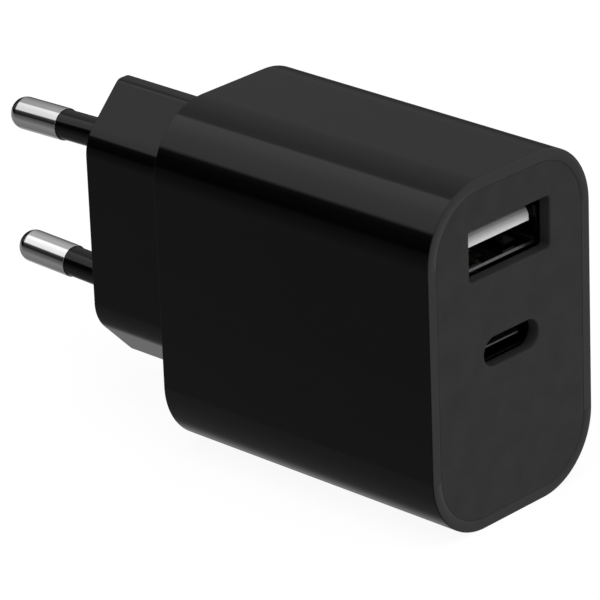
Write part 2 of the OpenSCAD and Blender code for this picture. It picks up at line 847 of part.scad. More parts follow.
module usb_a_contact_4() { contact_blade(3); }

// The contacts' fixed ends, from their roots through the port board
module usb_a_tails() {
    z = span(tail_z, contact_t);
    color("#d0aa5a")
    for (x = contact_x) {
        block(span(x, contact_w), [pivot[0] + root_r + tail_gap, port_y], z);
        block(span(x, tail_w), [port_y - 0.1, port_back_y + leg_out], z);
    }
}

// ---- USB-C connector ----

// One of the four legs that pass through the port board, grown by gap
module shell_leg_c(side, up_side, gap) {
    z = shell_c[1] / 2;
    translate([side * leg_c_x, 0, port_c_z]) mirror([0, 0, up_side < 0 ? 1 : 0])
        block(span(0, leg_c_w + 2 * gap), [port_y - 0.1, port_back_y + leg_out],
              [z - shell_t - gap, z + gap]);
}

module usb_c_shell() {
    color("#b6b8bb") {
        along_y([panel_y, port_y]) translate([0, port_c_z]) difference() {
            stadium(shell_c);
            stadium([cavity_c_w, cavity_c_h]);
        }
        for (s = [-1, 1], t = [-1, 1]) shell_leg_c(s, t, 0);
    }
}

// The tongue's outline seen from above, as far back as y_back
module tongue_plan(y_back) {
    x = tongue_c[0] / 2;
    y = tongue_c_y;
    polygon([[-x, y_back], [-x, y + tongue_c_corner], [tongue_c_corner - x, y],
             [x - tongue_c_corner, y], [x, y + tongue_c_corner], [x, y_back]]);
}

// The steel plate along the middle of the tongue, its edges bare
module ground_plate() {
    translate([0, 0, port_c_z - ground_plate_t / 2])
        linear_extrude(ground_plate_t) tongue_plan(port_y);
}

// The rows of contacts on both faces of the tongue
module contact_rows() {
    face = tongue_c[1] / 2;
    for (s = [0, 1], i = [0:pad_count - 1])
        translate([(i - (pad_count - 1) / 2) * pad_pitch, 0, port_c_z]) mirror([0, 0, s])
            block(span(0, pad_w), [tongue_c_y + 0.8, port_y], [face - pad_t, face]);
}

module usb_c_insulator() {
    y = [tongue_c_y, base_c_y + overlap];
    half = tongue_c[1] / 2;
    tip = ground_plate_t / 2 + 0.04;
    color("#1e1e20")
    difference() {
        union() {
            along_y([base_c_y, port_y]) translate([0, port_c_z])
                stadium([cavity_c_w - 0.04, cavity_c_h - 0.04]);
            // The tongue: wedge-shaped at its tip
            intersection() {
                translate([0, 0, port_c_z - half]) linear_extrude(tongue_c[1]) tongue_plan(y[1]);
                translate([0, 0, port_c_z]) along_x(span(0, tongue_c[0]))
                    polygon([[y[1], half], [y[0] + tongue_c_tip, half], [y[0], tip], [y[0], -tip],
                             [y[0] + tongue_c_tip, -half], [y[1], -half]]);
            }
        }
        ground_plate();
        contact_rows();
    }
}

module usb_c_contacts() { color("#d0aa5a") contact_rows(); }

module usb_c_ground_plate() { color("#8f9194") ground_plate(); }

body_shell();
front_panel();
pin_upper();
pin_lower();
sleeve_upper();
sleeve_lower();
pin_retainer();
mains_contact_upper();
mains_contact_lower();
main_board();
port_board();
transformer_core();
transformer_bobbin();
transformer_pins();
transformer_winding();
transformer_tape();
bulk_capacitor_upper();
bulk_capacitor_lower();
output_capacitor_upper();
output_capacitor_lower();
safety_capacitor();
choke_core();
choke_windings();
fuse();
thermistor();
bridge_rectifier();
power_controller();
optocoupler();
output_rectifier();
port_controller();
chip_capacitors();
chip_resistors();
solder_joints();
insulation_wrap();
usb_a_shell();
usb_a_insulator();
usb_a_contact_1();
usb_a_contact_2();
usb_a_contact_3();
usb_a_contact_4();
usb_a_tails();
usb_c_shell();
usb_c_insulator();
usb_c_contacts();
usb_c_ground_plate();
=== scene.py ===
import json
import math

import bmesh
import bpy
from mathutils import Matrix, Vector


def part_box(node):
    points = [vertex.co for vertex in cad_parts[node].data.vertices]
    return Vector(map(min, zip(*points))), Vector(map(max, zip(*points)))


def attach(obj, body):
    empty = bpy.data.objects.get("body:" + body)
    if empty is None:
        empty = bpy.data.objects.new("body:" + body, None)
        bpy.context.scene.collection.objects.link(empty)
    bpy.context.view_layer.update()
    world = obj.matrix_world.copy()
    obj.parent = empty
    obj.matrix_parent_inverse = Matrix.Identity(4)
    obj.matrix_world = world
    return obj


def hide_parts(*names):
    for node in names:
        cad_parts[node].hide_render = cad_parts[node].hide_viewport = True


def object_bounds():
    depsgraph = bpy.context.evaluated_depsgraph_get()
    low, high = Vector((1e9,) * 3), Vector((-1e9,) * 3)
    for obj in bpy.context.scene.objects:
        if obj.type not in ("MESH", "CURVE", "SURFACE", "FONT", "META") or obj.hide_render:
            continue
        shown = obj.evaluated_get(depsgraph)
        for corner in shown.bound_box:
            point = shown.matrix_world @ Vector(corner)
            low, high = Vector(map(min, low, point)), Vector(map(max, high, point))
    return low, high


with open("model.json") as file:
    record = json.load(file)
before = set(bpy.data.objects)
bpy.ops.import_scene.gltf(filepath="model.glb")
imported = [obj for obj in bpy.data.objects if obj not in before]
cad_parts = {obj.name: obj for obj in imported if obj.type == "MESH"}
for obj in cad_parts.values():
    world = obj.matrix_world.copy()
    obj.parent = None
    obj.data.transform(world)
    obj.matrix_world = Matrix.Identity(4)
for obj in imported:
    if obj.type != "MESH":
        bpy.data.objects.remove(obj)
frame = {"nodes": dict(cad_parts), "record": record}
cad_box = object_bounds()
nodes = frame["nodes"]
MM = 0.001

# ---------------------------------------------------------------- sizes, in millimetres, as in the CAD

shell_lo, shell_hi = (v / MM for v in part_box("body_shell"))
BODY_W, BODY_H = shell_hi.x - shell_lo.x, shell_hi.z - shell_lo.z
BODY_R = 8.6
WALL = 1.8
RIM = 1.4
SEAM = 0.03
FRONT_Y = shell_lo.y
STEP_Y = -18.4
PANEL_T = 1.5
PANEL_Y = FRONT_Y + PANEL_T

PLUG_W, PLUG_H = 13.7, 35.3
PLUG_SIDE_H, PLUG_RIDGE_W = 23.1, 1.8
PLUG_SIDE_R, PLUG_RIDGE_R = 5.0, 1.2
PLUG_FACE_T = 2.0

PIN_R, SLEEVE_R, CORE_R = 2.025, 1.87, 1.5
PIN_L, SLEEVE_L, TIP_R = 19.0, 10.35, 1.7
PIN_PITCH, TIP_PITCH = 18.6, 17.5
PIN_TAIL, COLLAR, COLLAR_R = -7.5, (-3.6, -2.1), 2.6
PIN_TILT = math.atan((PIN_PITCH - TIP_PITCH) / 2 / PIN_L)
SEAT_R, SEAT_DEPTH = 2.12, 0.3

WINDOW_A_Z, WINDOW_C_Z = 12.4, -0.2
WINDOW_A, WINDOW_A_R = (13.7, 6.3), 0.5
WINDOW_C = (9.3, 3.6)
TONGUE_A_Z = (12.4, 14.04)

# ---------------------------------------------------------------- camera

CAM_AZIMUTH, CAM_ELEVATION, CAM_ROLL = -46.011, 23.517, -2.193
CAM_LENS = 285.0
CAM_DISTANCE = 553.2
CAM_AIM = Vector((-1.938, -29.667, -2.674))


def make_camera():
    az, el, roll = (math.radians(v) for v in (CAM_AZIMUTH, CAM_ELEVATION, CAM_ROLL))
    back = Vector((math.sin(az) * math.cos(el), -math.cos(az) * math.cos(el), math.sin(el)))
    right = (-back).cross(Vector((0, 0, 1))).normalized()
    up = right.cross(-back)
    turned_right = right * math.cos(roll) + up * math.sin(roll)
    turned_up = up * math.cos(roll) - right * math.sin(roll)
    data = bpy.data.cameras.new("camera")
    data.lens, data.sensor_width = CAM_LENS, 36.0
    data.clip_start, data.clip_end = 0.05, 20.0
    cam = bpy.data.objects.new("camera", data)
    bpy.context.scene.collection.objects.link(cam)
    placed = Matrix((turned_right, turned_up, back)).transposed().to_4x4()
    placed.translation = (CAM_AIM + back * CAM_DISTANCE) * MM
    cam.matrix_world = placed
    bpy.context.scene.camera = cam


make_camera()

# ---------------------------------------------------------------- outlines: lists of (x, z)


def arc(centre, radius, start, end, steps):
    """Points on an arc between two angles in degrees, both ends included."""
    return [
        (
            centre[0] + radius * math.cos(math.radians(start + (end - start) * i / steps)),
            centre[1] + radius * math.sin(math.radians(start + (end - start) * i / steps)),
        )
        for i in range(steps + 1)
    ]


def round_rect(w, h, r, inset=0.0, at=(0.0, 0.0), steps=16):
    """A rectangle with round corners, moved inwards by inset."""
    x, z, r = w / 2 - inset, h / 2 - inset, max(r - inset, 0.01)
    points = []
    for k, (u, v) in enumerate(((1, 1), (-1, 1), (-1, -1), (1, -1))):
        points += arc((u * (x - r), v * (z - r)), r, 90 * k, 90 * k + 90, steps)
    return [(at[0] + p[0], at[1] + p[1]) for p in points]


def stadium(w, h, inset=0.0, at=(0.0, 0.0), steps=24):
    """A slot shape with fully round ends, moved inwards by inset."""
    x, r = (w - h) / 2, h / 2 - inset
    points = arc((x, 0), r, -90, 90, steps) + arc((-x, 0), r, 90, 270, steps)
    return [(at[0] + p[0], at[1] + p[1]) for p in points]


def circle(r, at=(0.0, 0.0), steps=64):
    return [(at[0] + p[0], at[1] + p[1]) for p in arc((0, 0), r, 0, 360, steps)[:-1]]


def plug_outline(inset=0.0, steps=12):
    """The plug's eight-sided outline with its corners rounded, moved inwards by inset."""
    slope = math.atan2((PLUG_W - PLUG_RIDGE_W) / 2, (PLUG_H - PLUG_SIDE_H) / 2)
    side, ridge, wide, tall = PLUG_SIDE_H / 2, PLUG_RIDGE_W / 2, PLUG_W / 2, PLUG_H / 2

    def centre(corner, r):
        # the middle of a rounding of radius r at the upper right side or ridge corner
        if corner == "side":
            return (wide - r, side - r * math.tan(slope / 2))
        return (ridge - r * math.tan((math.pi / 2 - slope) / 2), tall - r)

    s_deg = math.degrees(slope)
    cs, cr = centre("side", PLUG_SIDE_R), centre("ridge", PLUG_RIDGE_R)
    quarter = arc(cs, PLUG_SIDE_R - inset, 0, s_deg, steps)
    quarter += arc(cr, PLUG_RIDGE_R - inset, s_deg, 90, steps)
    left = [(-x, z) for x, z in reversed(quarter)]
    upper = quarter + left
    return upper + [(-x, -z) for x, z in upper]


def pin_centre(side, y):
    """Where the axis of the upper (1) or lower (-1) pin passes through the plane y."""
    return (0.0, side * (PIN_PITCH / 2 - y * math.tan(PIN_TILT)))


# ---------------------------------------------------------------- building meshes


class Solid:
    """Builds closed meshes from rings of points given in millimetres."""

    def __init__(self):
        self.bm = bmesh.new()

    def ring(self, outline, y):
        return [self.bm.verts.new((x * MM, y * MM, z * MM)) for x, z in outline]

    def bridge(self, a, b):
        n = len(a)
        for i in range(n):
            self.bm.faces.new((a[i], a[(i + 1) % n], b[(i + 1) % n], b[i]))

    def loft(self, stations):
        """Joins rings one after another; stations are (outline, y). Returns the first and last ring."""
        first = last = None
        for outline, y in stations:
            new = self.ring(outline, y)
            if last is not None:
                self.bridge(last, new)
            first = first or new
            last = new
        return first, last

    def flat(self, *rings):
        """Fills a flat region between an outer ring and any holes."""
        edges = []
        for ring in rings:
            for i, v in enumerate(ring):
                w = ring[(i + 1) % len(ring)]
                edges.append(self.bm.edges.get((v, w)) or self.bm.edges.new((v, w)))
        bmesh.ops.triangle_fill(self.bm, use_beauty=True, edges=edges)

    def piece(self, name, *stands_for, material, body="charger", sharp=32.0):
        """Turns the mesh into an object that stands for CAD nodes and rides on a body."""
        bmesh.ops.remove_doubles(self.bm, verts=self.bm.verts, dist=1e-7)
        bmesh.ops.recalc_face_normals(self.bm, faces=self.bm.faces)
        mesh = bpy.data.meshes.new(name)
        self.bm.to_mesh(mesh)
        self.bm.free()
        mesh.shade_smooth()
        mesh.set_sharp_from_angle(angle=math.radians(sharp))
        mesh.materials.append(material)
        obj = bpy.data.objects.new(name, mesh)
        bpy.context.scene.collection.objects.link(obj)
        weighted = obj.modifiers.new("weighted_normals", "WEIGHTED_NORMAL")
        weighted.keep_sharp = True
        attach(obj, body)
        if stands_for:
            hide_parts(*stands_for)
        return obj


def fillet(outline, inset_from, inset_to, y_from, y_to, steps=5, turn=1):
    """Stations of a quarter round between two insets and two depths.

    turn 1 leaves the first station along Y, and -1 leaves it across Y.
    """
    out = []
    for i in range(steps + 1):
        a = math.pi / 2 * i / steps
        across, along = (1 - math.cos(a), math.sin(a)) if turn > 0 else (math.sin(a), 1 - math.cos(a))
        out.append(
            (outline(inset_from + (inset_to - inset_from) * across), y_from + (y_to - y_from) * along)
        )
    return out


# ---------------------------------------------------------------- materials


class Shader:
    """A node material, with helpers that keep its making short."""

    def __init__(self, name, **fixed):
        self.mat = bpy.data.materials.new(name)
        self.mat.use_nodes = True
        self.tree = self.mat.node_tree
        self.tree.nodes.clear()
        out = self.tree.nodes.new("ShaderNodeOutputMaterial")
        self.bsdf = self.tree.nodes.new("ShaderNodeBsdfPrincipled")
        self.link(self.bsdf.outputs[0], out.inputs["Surface"])
        for socket, value in fixed.items():
            self.bsdf.inputs[socket.replace("_", " ")].default_value = value
        where = self.tree.nodes.new("ShaderNodeTexCoord")
        scale = self.tree.nodes.new("ShaderNodeVectorMath")
        scale.operation = "SCALE"
        scale.inputs["Scale"].default_value = 1 / MM
        self.link(where.outputs["Object"], scale.inputs[0])
        self.mm = scale.outputs[0]
        self.height = None

    def link(self, a, b):
        self.tree.links.new(a, b)

    def xyz(self):
        """The position in millimetres, as three values."""
        n = self.tree.nodes.new("ShaderNodeSeparateXYZ")
        self.link(self.mm, n.inputs[0])
        return n.outputs

    def stretched(self, factors):
        """The position in millimetres, scaled along each axis."""
        n = self.tree.nodes.new("ShaderNodeVectorMath")
        n.operation = "MULTIPLY"
        n.inputs[1].default_value = factors
        self.link(self.mm, n.inputs[0])
        return n.outputs[0]

    def noise(self, per_mm, detail=3.0, rough=0.5, stretch=None):
        n = self.tree.nodes.new("ShaderNodeTexNoise")
        n.inputs["Scale"].default_value = per_mm
        n.inputs["Detail"].default_value = detail
        n.inputs["Roughness"].default_value = rough
        self.link(self.stretched(stretch) if stretch else self.mm, n.inputs["Vector"])
        return n.outputs["Fac"]

    def cells(self, per_mm):
        n = self.tree.nodes.new("ShaderNodeTexVoronoi")
        n.inputs["Scale"].default_value = per_mm
        self.link(self.mm, n.inputs["Vector"])
        return n.outputs["Distance"]

    def bands(self, per_mm, axis, distortion):
        n = self.tree.nodes.new("ShaderNodeTexWave")
        n.wave_type = "BANDS"
        n.bands_direction = axis
        n.inputs["Scale"].default_value = per_mm
        n.inputs["Distortion"].default_value = distortion
        self.link(self.mm, n.inputs["Vector"])
        return n.outputs["Fac"]

    def spread(self, value, low, high, start=0.0, end=1.0):
        """Maps a value from start..end to low..high, clamped."""
        n = self.tree.nodes.new("ShaderNodeMapRange")
        for socket, v in (("From Min", start), ("From Max", end), ("To Min", low), ("To Max", high)):
            n.inputs[socket].default_value = v
        self.link(value, n.inputs["Value"])
        return n.outputs["Result"]

    def maths(self, operation, a, b):
        n = self.tree.nodes.new("ShaderNodeMath")
        n.operation = operation
        for i, v in enumerate((a, b)):
            if isinstance(v, (int, float)):
                n.inputs[i].default_value = v
            else:
                self.link(v, n.inputs[i])
        return n.outputs[0]

    def ramp(self, value, *stops):
        n = self.tree.nodes.new("ShaderNodeValToRGB")
        marks = n.color_ramp.elements
        while len(marks) < len(stops):
            marks.new(0.5)
        for mark, (at, colour) in zip(marks, stops):
            mark.position = at
            mark.color = (*colour, 1.0)
        self.link(value, n.inputs["Fac"])
        return n.outputs["Color"]

    def mix(self, share, a, b):
        n = self.tree.nodes.new("ShaderNodeMix")
        n.data_type = "RGBA"
        self.link(share, n.inputs["Factor"])
        for socket, v in ((n.inputs[6], a), (n.inputs[7], b)):
            if isinstance(v, tuple):
                socket.default_value = (*v, 1.0)
            else:
                self.link(v, socket)
        return n.outputs[2]

    def colour(self, value):
        self.link(value, self.bsdf.inputs["Base Color"])
        return self

    def rough(self, value):
        self.link(value, self.bsdf.inputs["Roughness"])
        return self

    def bump(self, value, micrometres):
        """Adds surface relief of the given depth."""
        n = self.tree.nodes.new("ShaderNodeBump")
        n.inputs["Distance"].default_value = micrometres * 1e-6
        self.link(value, n.inputs["Height"])
        if self.height is not None:
            self.link(self.height, n.inputs["Normal"])
        self.height = n.outputs["Normal"]
        self.link(self.height, self.bsdf.inputs["Normal"])
        return self


def gloss_plastic(name, dark, light, rough, ior=1.42):
    """Moulded plastic: faint flow marks along the mould, a slow waviness and a few dull specks."""
    s = Shader(name, IOR=ior)
    flow = (1.0, 0.15, 1.0)
    s.colour(s.ramp(s.noise(0.35, 4, 0.55, flow), (0.3, dark), (0.7, light)))
    smear = s.spread(s.noise(0.12, 3, 0.6, flow), rough[0], rough[1], 0.35, 0.7)
    speck = s.spread(s.cells(1.6), 0.12, 0.0, 0.0, 0.035)
    s.rough(s.maths("ADD", smear, speck))
    s.bump(s.noise(0.5, 2, 0.5), 0.9)
    return s.mat


def metal(name, dark, light, rough, grain=(1.0, 1.0, 1.0), per_mm=6.0, depth=0.5):
    """Plated metal with drawn or ground grain."""
    s = Shader(name, Metallic=1.0)
    fine = s.noise(per_mm, 4, 0.6, grain)
    s.colour(s.ramp(fine, (0.35, dark), (0.65, light)))
    s.rough(s.spread(s.noise(per_mm / 4, 3, 0.6, grain), rough[0], rough[1], 0.3, 0.7))
    s.bump(fine, depth)
    return s.mat


def matte(name, dark, light, rough, per_mm=1.2, depth=4.0):
    """Moulded or cast plastic with a fine grain."""
    s = Shader(name, IOR=1.5)
    s.colour(s.ramp(s.noise(per_mm, 4, 0.6), (0.3, dark), (0.7, light)))
    s.rough(s.spread(s.noise(per_mm * 2, 3, 0.6), rough[0], rough[1], 0.3, 0.7))
    s.bump(s.noise(per_mm * 8, 3, 0.6), depth)
    return s.mat


def grey(v):
    return (v, v, v)


def wound(name, enamel, gap, per_mm, axis):
    """Enamelled wire wound side by side: ridges across the axis, with the odd crossing turn."""
    s = Shader(name, Metallic=0.75)
    turns = s.bands(per_mm, axis, 0.25)
    s.colour(s.mix(s.spread(turns, 0.0, 1.0, 0.05, 0.5), gap, enamel))
    s.rough(s.spread(s.noise(1.5), 0.25, 0.35, 0.3, 0.7))
    s.bump(turns, 60)
    return s.mat


def traces(s, across, along, row, length, width):
    """Straight conductors between rows, as 1 on a track and 0 beside it."""
    flat = s.tree.nodes.new("ShaderNodeCombineXYZ")
    s.link(across, flat.inputs["X"])
    s.link(along, flat.inputs["Y"])
    n = s.tree.nodes.new("ShaderNodeTexBrick")
    n.offset, n.offset_frequency, n.squash, n.squash_frequency = 0.37, 2, 1.7, 3
    sizes = {"Scale": 1.0, "Mortar Size": width / 2, "Mortar Smooth": 0.1, "Brick Width": length}
    sizes["Row Height"] = row
    for socket, v in sizes.items():
        n.inputs[socket].default_value = v
    s.link(flat.outputs[0], n.inputs["Vector"])
    return n.outputs["Fac"]


def circuit_board(name):
    """Green solder mask over glass cloth, with straight copper tracks showing through."""
    s = Shader(name, IOR=1.5)
    cloth = s.maths("MULTIPLY", s.bands(1.3, "Y", 0.2), s.bands(1.3, "Z", 0.2))
    base = s.ramp(cloth, (0.0, (0.012, 0.075, 0.034)), (1.0, (0.018, 0.105, 0.048)))
    where = s.xyz()
    # one board lies across X and the other across Y, so their sum runs along both
    level, upright = s.maths("ADD", where["X"], where["Y"]), where["Z"]
    patch = s.spread(s.noise(0.12, 1), 0.0, 1.0, 0.49, 0.5)
    rows = s.maths("MULTIPLY", traces(s, level, upright, 1.9, 7.3, 0.35), patch)
    columns = s.maths("MULTIPLY", traces(s, upright, level, 2.6, 9.1, 0.5), s.maths("SUBTRACT", 1.0, patch))
    tracks = s.maths("MAXIMUM", rows, columns)
    s.colour(s.mix(tracks, base, (0.03, 0.2, 0.085)))
    s.rough(s.spread(s.noise(0.8), 0.22, 0.34, 0.3, 0.7))
    s.bump(tracks, 35)
    s.bump(cloth, 4)
    return s.mat


def sleeved_can(name):
    """A dark blue shrink sleeve with its paler stripe, open at the can's crimped aluminium top."""
    s = Shader(name, IOR=1.5)
    lo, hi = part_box("bulk_capacitor_upper")
    where = s.xyz()
    top = s.spread(where["X"], 0.0, 1.0, hi.x / MM - 0.45, hi.x / MM - 0.4)
    stripe = s.spread(where["Y"], 1.0, 0.0, lo.y / MM + 1.0, lo.y / MM + 1.1)
    cloud = s.noise(0.9, 4, 0.6)
    film = s.ramp(cloud, (0.3, (0.012, 0.02, 0.05)), (0.7, (0.02, 0.032, 0.075)))
    film = s.mix(stripe, film, (0.45, 0.5, 0.55))
    s.colour(s.mix(top, film, (0.62, 0.63, 0.65)))
    s.link(top, s.bsdf.inputs["Metallic"])
    s.rough(s.spread(cloud, 0.2, 0.32, 0.3, 0.7))
    s.bump(s.noise(2.5, 3, 0.6), 8)
    return s.mat


def tipped_chip(name, body_dark, body_light):
    """Chip parts of fired ceramic, with a fine grain."""
    s = Shader(name, IOR=1.5)
    cloud = s.noise(3.0, 4, 0.6)
    s.colour(s.ramp(cloud, (0.3, body_dark), (0.7, body_light)))
    s.rough(s.spread(cloud, 0.35, 0.5, 0.3, 0.7))
    s.bump(s.noise(12.0, 3, 0.6), 3)
    return s.mat


def tongue_plastic(name):
    """White plastic with a fine grain, greyed towards the top of the tongue as painted shade from the port's
    roof.
    """
    s = Shader(name, IOR=1.5)
    where = s.xyz()
    shade_starts, shade_full = TONGUE_A_Z[0] + 0.1, TONGUE_A_Z[1] - 0.24
    # painted shade: the white turns grey up the tongue's nose, where the port's roof shades it
    painted_shade = s.spread(where["Z"], 0.0, 1.0, shade_starts, shade_full)
    white = s.ramp(s.noise(1.2, 4, 0.6), (0.3, grey(0.66)), (0.7, grey(0.72)))
    s.colour(s.mix(painted_shade, white, grey(0.19)))
    s.rough(s.spread(s.noise(2.4, 3, 0.6), 0.45, 0.55, 0.3, 0.7))
    s.bump(s.noise(9.6, 3, 0.6), 2)
    return s.mat


def tube_fuse(name):
    """A cream ceramic tube between tinned end caps, told apart by their height above the board."""
    s = Shader(name, IOR=1.5)
    where = s.xyz()
    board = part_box("main_board")[1].x / MM
    tube, edge = (board + 2.2, board + 7.35), 0.05
    low_cap = s.spread(where["X"], 1.0, 0.0, tube[0], tube[0] + edge)
    high_cap = s.spread(where["X"], 0.0, 1.0, tube[1], tube[1] + edge)
    cap = s.maths("MAXIMUM", low_cap, high_cap)
    glaze = s.ramp(s.noise(1.2, 4), (0.3, (0.55, 0.5, 0.36)), (0.7, (0.66, 0.61, 0.47)))
    s.colour(s.mix(cap, glaze, (0.6, 0.61, 0.62)))
    s.link(cap, s.bsdf.inputs["Metallic"])
    s.rough(s.spread(s.noise(2.0), 0.22, 0.4, 0.3, 0.7))
    s.bump(s.noise(6.0), 4)
    return s.mat


NICKEL = ((0.9, 0.9, 0.9), (0.96, 0.96, 0.96))
# SHADED_STEEL is far darker than bare steel: painted shade for the connector shells deep inside the ports
SHADED_STEEL = ((0.074, 0.074, 0.076), (0.096, 0.096, 0.098))
GOLD = ((0.42, 0.33, 0.18), (0.52, 0.42, 0.25))
TIN = ((0.5, 0.51, 0.53), (0.62, 0.63, 0.65))

M = {
    "shell_plastic": gloss_plastic("shell_plastic", grey(0.0004), grey(0.0009), (0.03, 0.05)),
    "panel_plastic": gloss_plastic("panel_plastic", grey(0.0235), grey(0.028), (0.44, 0.52), 1.12),
    "sleeve_plastic": gloss_plastic("sleeve_plastic", grey(0.0004), grey(0.0009), (0.05, 0.09)),
    "pin_metal": metal("pin_metal", *NICKEL, (0.05, 0.08), (1, 0.08, 1), 6.0, 0.15),
    "retainer_plastic": matte("retainer_plastic", (0.66, 0.62, 0.53), (0.74, 0.70, 0.61), (0.4, 0.55)),
    "strip_metal": metal("strip_metal", (0.52, 0.37, 0.19), (0.66, 0.49, 0.27), (0.22, 0.34), (1, 0.1, 1)),
    "board": circuit_board("board"),
    "ferrite": matte("ferrite", grey(0.035), grey(0.055), (0.45, 0.6), 2.5, 8),
    "bobbin_plastic": matte("bobbin_plastic", grey(0.012), grey(0.02), (0.35, 0.5)),
    "tinned_lead": metal("tinned_lead", *TIN, (0.2, 0.32), (0.1, 1, 1)),
    "copper_wire": wound("copper_wire", (0.5, 0.17, 0.05), (0.1, 0.03, 0.01), 1.1, "X"),
    "winding_tape": gloss_plastic("winding_tape", (0.62, 0.42, 0.03), (0.74, 0.53, 0.06), (0.2, 0.3), 1.5),
    "capacitor_sleeve": sleeved_can("capacitor_sleeve"),
    "capacitor_can": metal("capacitor_can", (0.6, 0.61, 0.63), (0.7, 0.71, 0.73), (0.28, 0.4), (0.15, 1, 1)),
    "blue_epoxy": gloss_plastic("blue_epoxy", (0.012, 0.09, 0.34), (0.022, 0.14, 0.46), (0.1, 0.2), 1.5),
    "choke_ferrite": matte("choke_ferrite", (0.035, 0.09, 0.05), (0.055, 0.13, 0.075), (0.3, 0.45)),
    "fuse_body": tube_fuse("fuse_body"),
    "green_epoxy": gloss_plastic("green_epoxy", (0.012, 0.1, 0.04), (0.022, 0.15, 0.065), (0.12, 0.22), 1.5),
    "package_black": matte("package_black", grey(0.012), grey(0.02), (0.5, 0.65), 2.5, 6),
    "package_white": matte("package_white", (0.7, 0.69, 0.65), (0.78, 0.77, 0.73), (0.4, 0.5), 2.5, 5),
    "chip_tan": tipped_chip("chip_tan", (0.28, 0.17, 0.09), (0.38, 0.25, 0.14)),
    "chip_black": tipped_chip("chip_black", grey(0.01), grey(0.022)),
    "solder": metal("solder", (0.52, 0.53, 0.55), (0.66, 0.67, 0.69), (0.14, 0.26)),
    "insulating_card": matte("insulating_card", (0.74, 0.69, 0.53), (0.82, 0.77, 0.62), (0.7, 0.85), 0.8, 10),
    # connector steel darkened as painted shade for the inside of the ports
    "connector_steel": metal("connector_steel", *SHADED_STEEL, (0.2, 0.3), (1, 0.12, 1)),
    "plated_black": metal("plated_black", grey(0.018), grey(0.03), (0.25, 0.35), (1, 0.12, 1)),
    "insulator_white": tongue_plastic("insulator_white"),
    "insulator_black": matte("insulator_black", grey(0.004), grey(0.008), (0.25, 0.35), 1.2, 2),
    "contact_gold": metal("contact_gold", *GOLD, (0.18, 0.28), (1, 0.12, 1)),
}

# ---------------------------------------------------------------- the body shell with its plug


def make_shell():
    s = Solid()
    edge_front, edge_step, edge_plug, edge_root, edge_seam = 0.12, 0.05, 0.08, 0.2, 0.02
    back_wall_y = STEP_Y - WALL

    def body(inset):
        return round_rect(BODY_W, BODY_H, BODY_R, inset, steps=32)

    # rim, from the ledge under the panel over the front edge and along the sides to the step
    outside = [(body(RIM), PANEL_Y)]
    outside += fillet(body, RIM, RIM - edge_seam, FRONT_Y + edge_seam, FRONT_Y, 3, 1)
    outside += fillet(body, edge_front, 0.0, FRONT_Y, FRONT_Y + edge_front, 6, -1)
    outside += fillet(body, 0.0, edge_step, STEP_Y - edge_step, STEP_Y, 6, 1)
    ledge_ring, step_ring = s.loft(outside)

    # the plug, from the step to its face
    plug_run = fillet(plug_outline, -edge_root, 0.0, STEP_Y, STEP_Y + edge_root, 4, -1)
    plug_run += fillet(plug_outline, 0.0, edge_plug, -edge_plug, 0.0, 6, 1)
    root_ring, face_ring = s.loft(plug_run)
    s.flat(step_ring, root_ring)

    # pin seats through the plug's face
    mouths, inner_mouths = [], []
    lip, lip_middle, neck_r = 0.1, 0.03, SLEEVE_R + 0.02
    for side in (1, -1):
        seat = [
            (circle(SEAT_R + lip, pin_centre(side, 0)), 0.0),
            (circle(SEAT_R + lip_middle, pin_centre(side, 0)), -lip_middle),
            (circle(SEAT_R, pin_centre(side, 0)), -lip),
            (circle(SEAT_R, pin_centre(side, 0)), -SEAT_DEPTH),
            (circle(neck_r, pin_centre(side, -SEAT_DEPTH)), -SEAT_DEPTH),
            (circle(neck_r, pin_centre(side, -PLUG_FACE_T)), -PLUG_FACE_T),
        ]
        mouth, inner = s.loft(seat)
        mouths.append(mouth)
        inner_mouths.append(inner)
    s.flat(face_ring, *mouths)

    # inside: plug hollow, back wall, body hollow; a plug wall as thick as the body's would turn the
    # rounding of the plug's ridge inside out
    hollow = plug_outline(min(WALL, PLUG_RIDGE_R - 0.02))
    face_in, back_in = s.loft([(hollow, -PLUG_FACE_T), (hollow, back_wall_y)])
    s.flat(face_in, *inner_mouths)
    wall_back, wall_front = s.loft([(body(WALL), back_wall_y), (body(WALL), PANEL_Y)])
    s.flat(wall_back, back_in)
    s.bridge(wall_front, ledge_ring)
    return s.piece("body_casing", "body_shell", material=M["shell_plastic"])


# The panel's two tongues: length along Y, thickness, half their height, and gap to the casing
TONGUE_L, TONGUE_T, TONGUE_Z, TONGUE_FIT = 4.0, 1.0, 10.5, 0.1
# Their hooks: places on Z, width, how far they stand into the casing, and their Y behind the panel
HOOK_Z, HOOK_W, HOOK_OUT, HOOK_Y = 7.0, 6.0, 0.4, (1.2, 1.8, 2.8)


